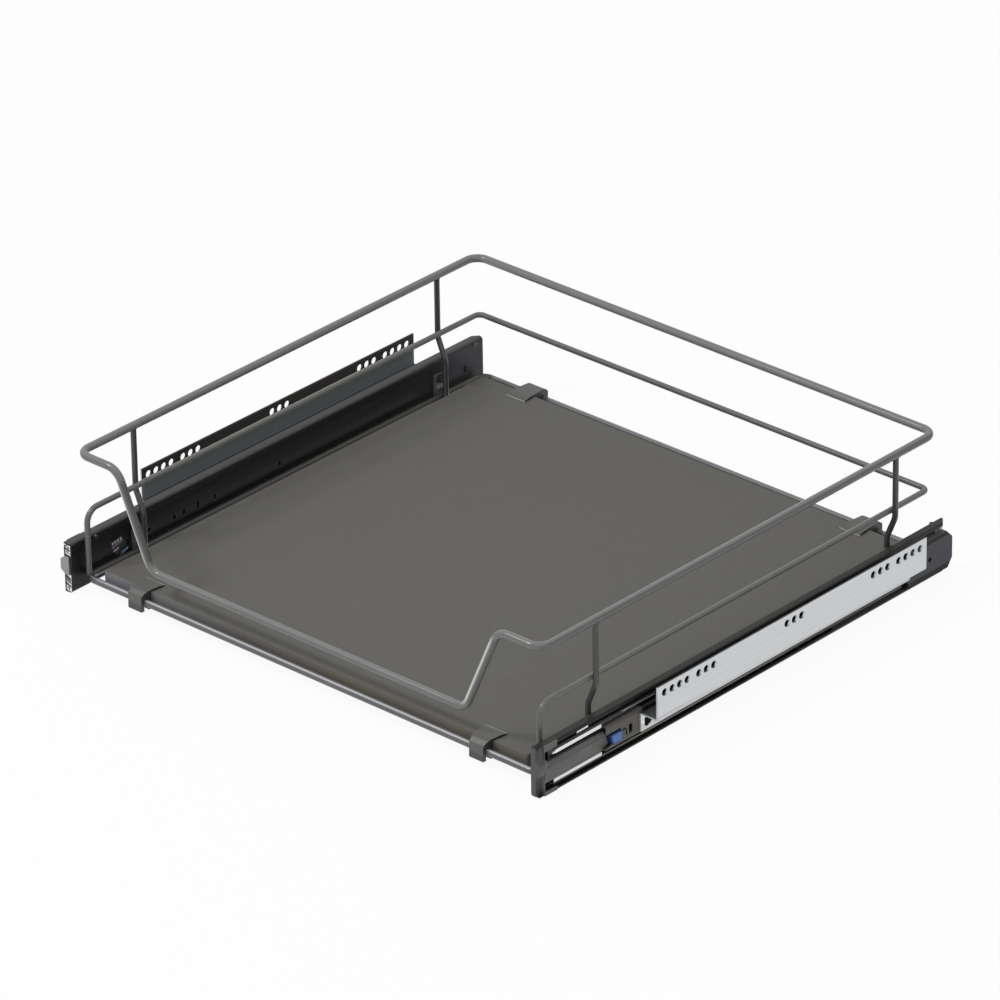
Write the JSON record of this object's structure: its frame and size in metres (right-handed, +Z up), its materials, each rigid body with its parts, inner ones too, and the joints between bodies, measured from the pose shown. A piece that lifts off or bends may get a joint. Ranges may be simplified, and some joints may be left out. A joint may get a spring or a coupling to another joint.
{
  "type": "telescopic pull-out drawer",
  "caption": "Wire-frame pull-out drawer tray with a loose base panel on full-extension ball slides with wall brackets for a kitchen cabinet.",
  "frame": {"origin": "middle of the footprint at the underside of the drawer rails, drawer closed", "axes": "+X to the right as seen by the user, +Y to the back of the cabinet, +Z up; the drawer pulls out along -Y"},
  "size_m": [0.568, 0.504, 0.1283],
  "materials": {
    "coated_wire": "semi-gloss anthracite powder coat",
    "panel_board": "matt textured anthracite foil on board",
    "clip_plastic": "fine matt",
    "drawer_rail_steel": "dark anthracite coating, satin",
    "cap_plastic": "grey moulded",
    "middle_rail_zinc": "bright zinc",
    "cage_steel": "plain zinc",
    "ball_steel": "polished",
    "cabinet_rail_steel": "dark coating, satin",
    "bracket_zinc": "light grey zinc, matt",
    "rivet_steel": "plain",
    "screw_steel": "bright zinc",
    "pin_steel": "turned",
    "lever_plastic": "blue moulded",
    "housing_plastic": "dark grey moulded",
    "catch_plastic": "light grey moulded",
    "damper_metal": "plain",
    "spring_steel": "plain"
  },
  "bodies": {
    "cabinet_side": {"left_cabinet_rail": "cabinet_rail_steel", "left_wall_bracket": "bracket_zinc", "left_lever_pin": "pin_steel", "left_soft_close_housing": "housing_plastic", "left_soft_close_cover": "housing_plastic", "left_damper_cylinder": "damper_metal", "left_damper_rod": "pin_steel", "left_closing_spring": "spring_steel", "left_catch_pivot": "pin_steel", "right_cabinet_rail": "cabinet_rail_steel", "right_wall_bracket": "bracket_zinc", "right_lever_pin": "pin_steel", "right_soft_close_housing": "housing_plastic", "right_soft_close_cover": "housing_plastic", "right_damper_cylinder": "damper_metal", "right_damper_rod": "pin_steel", "right_closing_spring": "spring_steel", "right_catch_pivot": "pin_steel", "bracket_rivets": "rivet_steel"},
    "drawer": {"basket_top_rail": "coated_wire", "basket_middle_rail": "coated_wire", "basket_base_ring": "coated_wire", "front_hoop": "coated_wire", "rear_hoop": "coated_wire", "base_panel": "panel_board", "front_left_panel_clip": "clip_plastic", "rear_left_panel_clip": "clip_plastic", "front_left_frame_tab": "coated_wire", "rear_left_frame_tab": "coated_wire", "front_right_panel_clip": "clip_plastic", "rear_right_panel_clip": "clip_plastic", "front_right_frame_tab": "coated_wire", "rear_right_frame_tab": "coated_wire", "frame_screws": "screw_steel", "left_drawer_rail": "drawer_rail_steel", "left_front_cap": "cap_plastic", "left_catch_pin": "pin_steel", "right_drawer_rail": "drawer_rail_steel", "right_front_cap": "cap_plastic", "right_catch_pin": "pin_steel"},
    "left_middle_slide": {"left_middle_rail": "middle_rail_zinc"},
    "left_outer_ball_cage": {"left_outer_cage": "cage_steel", "left_outer_balls": "ball_steel"},
    "left_inner_ball_cage": {"left_inner_cage": "cage_steel", "left_inner_balls": "ball_steel"},
    "left_lever": {"left_release_lever": "lever_plastic"},
    "left_catch": {"left_soft_close_catch": "catch_plastic"},
    "right_middle_slide": {"right_middle_rail": "middle_rail_zinc"},
    "right_outer_ball_cage": {"right_outer_cage": "cage_steel", "right_outer_balls": "ball_steel"},
    "right_inner_ball_cage": {"right_inner_cage": "cage_steel", "right_inner_balls": "ball_steel"},
    "right_lever": {"right_release_lever": "lever_plastic"},
    "right_catch": {"right_soft_close_catch": "catch_plastic"}
  },
  "joints": [
    {"name": "drawer_slide", "type": "slide", "parent": "cabinet_side", "child": "drawer", "axis": [0, -1, 0], "range_m": [0, 0.5]},
    {"name": "left_middle_slide_travel", "type": "slide", "parent": "cabinet_side", "child": "left_middle_slide", "axis": [0, -1, 0], "range_m": [0, 0.25]},
    {"name": "left_outer_cage_travel", "type": "slide", "parent": "cabinet_side", "child": "left_outer_ball_cage", "axis": [0, -1, 0], "range_m": [0, 0.375]},
    {"name": "left_inner_cage_travel", "type": "slide", "parent": "cabinet_side", "child": "left_inner_ball_cage", "axis": [0, -1, 0], "range_m": [0, 0.125]},
    {"name": "left_lever_press", "type": "hinge", "parent": "cabinet_side", "child": "left_lever", "pos_m": [-0.2615, -0.155, 0.01946], "axis": [-1, 0, 0], "range_deg": [0, 6], "stiffness_Nm_per_rad": 0.05, "springref_deg": -4.58},
    {"name": "left_catch_tilt", "type": "hinge", "parent": "cabinet_side", "child": "left_catch", "pos_m": [-0.2583, 0.2432, 0.0285], "axis": [-1, 0, 0], "range_deg": [0, 12], "stiffness_Nm_per_rad": 0.05, "springref_deg": -4.58},
    {"name": "right_middle_slide_travel", "type": "slide", "parent": "cabinet_side", "child": "right_middle_slide", "axis": [0, -1, 0], "range_m": [0, 0.25]},
    {"name": "right_outer_cage_travel", "type": "slide", "parent": "cabinet_side", "child": "right_outer_ball_cage", "axis": [0, -1, 0], "range_m": [0, 0.375]},
    {"name": "right_inner_cage_travel", "type": "slide", "parent": "cabinet_side", "child": "right_inner_ball_cage", "axis": [0, -1, 0], "range_m": [0, 0.125]},
    {"name": "right_lever_press", "type": "hinge", "parent": "cabinet_side", "child": "right_lever", "pos_m": [0.2615, -0.155, 0.01946], "axis": [-1, 0, 0], "range_deg": [0, 6], "stiffness_Nm_per_rad": 0.05, "springref_deg": -4.58},
    {"name": "right_catch_tilt", "type": "hinge", "parent": "cabinet_side", "child": "right_catch", "pos_m": [0.2583, 0.2432, 0.0285], "axis": [-1, 0, 0], "range_deg": [0, 12], "stiffness_Nm_per_rad": 0.05, "springref_deg": -4.58}
  ],
  "couplings": [
    {"joint": "left_middle_slide_travel", "follows": "drawer_slide", "ratio": 0.5},
    {"joint": "left_outer_cage_travel", "follows": "drawer_slide", "ratio": 0.75},
    {"joint": "left_inner_cage_travel", "follows": "drawer_slide", "ratio": 0.25},
    {"joint": "right_middle_slide_travel", "follows": "drawer_slide", "ratio": 0.5},
    {"joint": "right_outer_cage_travel", "follows": "drawer_slide", "ratio": 0.75},
    {"joint": "right_inner_cage_travel", "follows": "drawer_slide", "ratio": 0.25}
  ]
}
